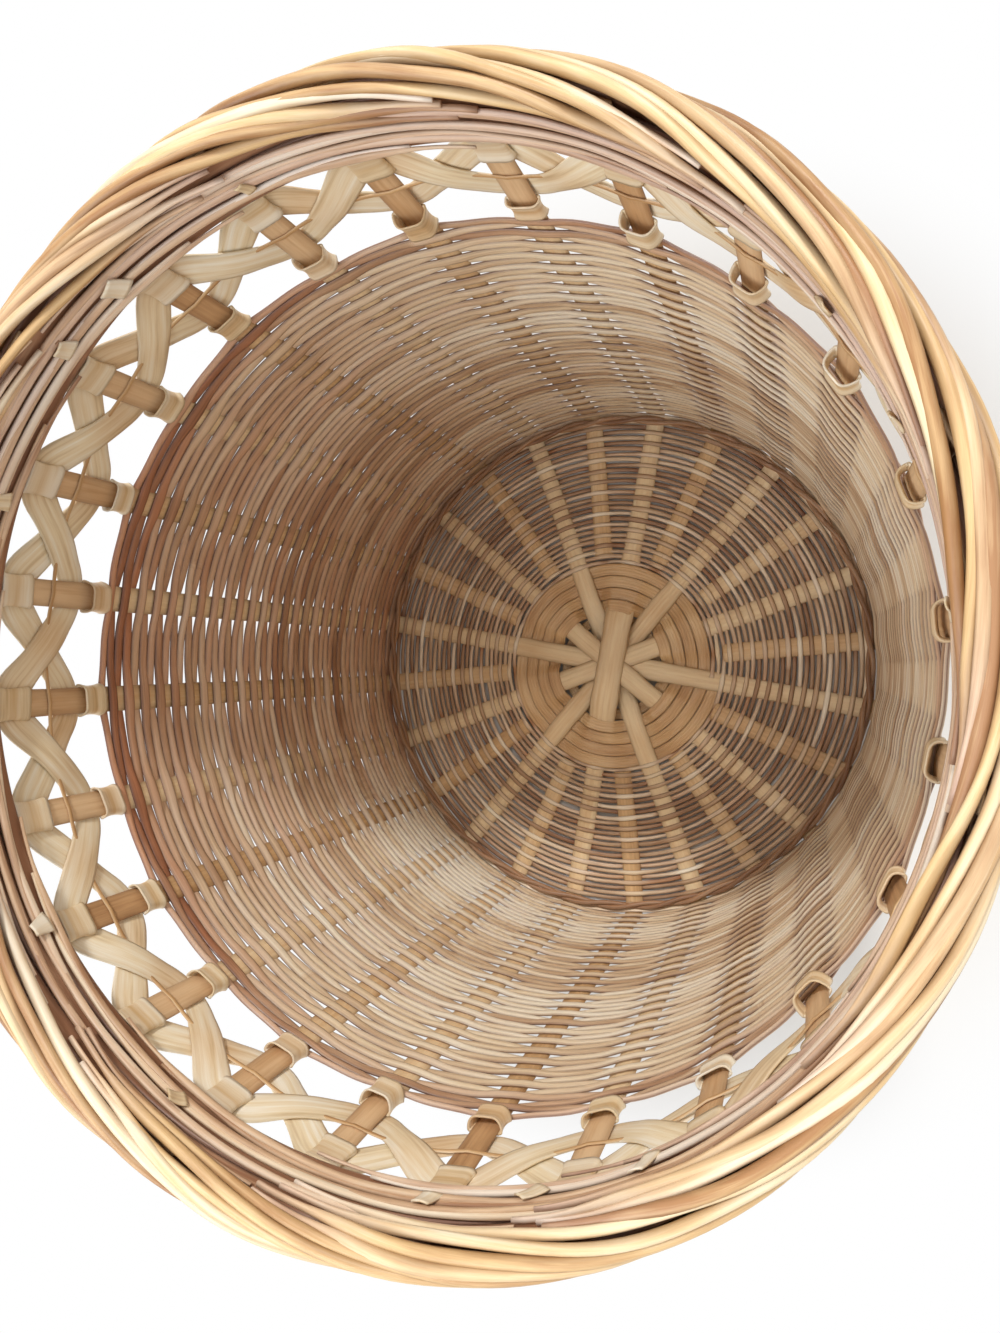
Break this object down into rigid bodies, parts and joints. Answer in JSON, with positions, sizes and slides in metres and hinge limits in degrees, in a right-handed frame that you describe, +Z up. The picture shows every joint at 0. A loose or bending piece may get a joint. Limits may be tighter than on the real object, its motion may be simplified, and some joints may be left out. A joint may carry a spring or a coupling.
{
  "type": "planter basket",
  "caption": "Round flared bamboo planter basket with a spoked plaited base, a plaited wall, an open ribbon lattice band and a thick rolled rim",
  "frame": {"origin": "on the floor under the middle of the base", "axes": "+Z is up along the basket's axis, and +X runs through a stake"},
  "size_m": [0.2944, 0.2944, 0.283],
  "materials": {
    "stake_splint": "brown split bamboo with lengthwise grooves, satin",
    "hub_splint": "broad tan bamboo splint, satin",
    "base_weaver": "fine tan bamboo splint, matt",
    "wall_weaver": "fine brown to straw bamboo splint, matt",
    "lattice_ribbon": "pale cream bamboo ribbon, satin",
    "rim_rod": "golden bamboo slivers, satin sheen"
  },
  "bodies": {
    "root": {"base_splint_1": "stake_splint", "base_splint_2": "stake_splint", "base_splint_3": "stake_splint", "base_splint_4": "stake_splint", "base_splint_5": "stake_splint", "base_splint_6": "stake_splint", "side_stake_1": "stake_splint", "side_stake_2": "stake_splint", "side_stake_3": "stake_splint", "side_stake_4": "stake_splint", "side_stake_5": "stake_splint", "side_stake_6": "stake_splint", "side_stake_7": "stake_splint", "side_stake_8": "stake_splint", "side_stake_9": "stake_splint", "side_stake_10": "stake_splint", "side_stake_11": "stake_splint", "side_stake_12": "stake_splint", "hub_coil": "hub_splint", "base_weaver_a": "base_weaver", "wall_weaver_a1": "wall_weaver", "wall_weaver_a2": "wall_weaver", "wall_weaver_a3": "wall_weaver", "wall_weaver_a4": "wall_weaver", "wall_weaver_a5": "wall_weaver", "wall_weaver_a6": "wall_weaver", "base_weaver_b": "base_weaver", "wall_weaver_b1": "wall_weaver", "wall_weaver_b2": "wall_weaver", "wall_weaver_b3": "wall_weaver", "wall_weaver_b4": "wall_weaver", "wall_weaver_b5": "wall_weaver", "wall_weaver_b6": "wall_weaver", "lattice_ribbon_inner": "lattice_ribbon", "lattice_ribbon_outer": "lattice_ribbon", "lattice_thread": "lattice_ribbon", "corner_hoop": "base_weaver", "rim_hoop_inner": "rim_rod", "rim_hoop_outer": "rim_rod", "rim_bundle_1": "rim_rod", "rim_bundle_2": "rim_rod", "rim_bundle_3": "rim_rod", "rim_bundle_4": "rim_rod", "rim_bundle_5": "rim_rod", "rim_bundle_6": "rim_rod", "rim_bundle_7": "rim_rod", "rim_bundle_8": "rim_rod", "rim_bundle_9": "rim_rod", "rim_bundle_10": "rim_rod", "rim_bundle_11": "rim_rod", "rim_bundle_12": "rim_rod"}
  },
  "joints": []
}
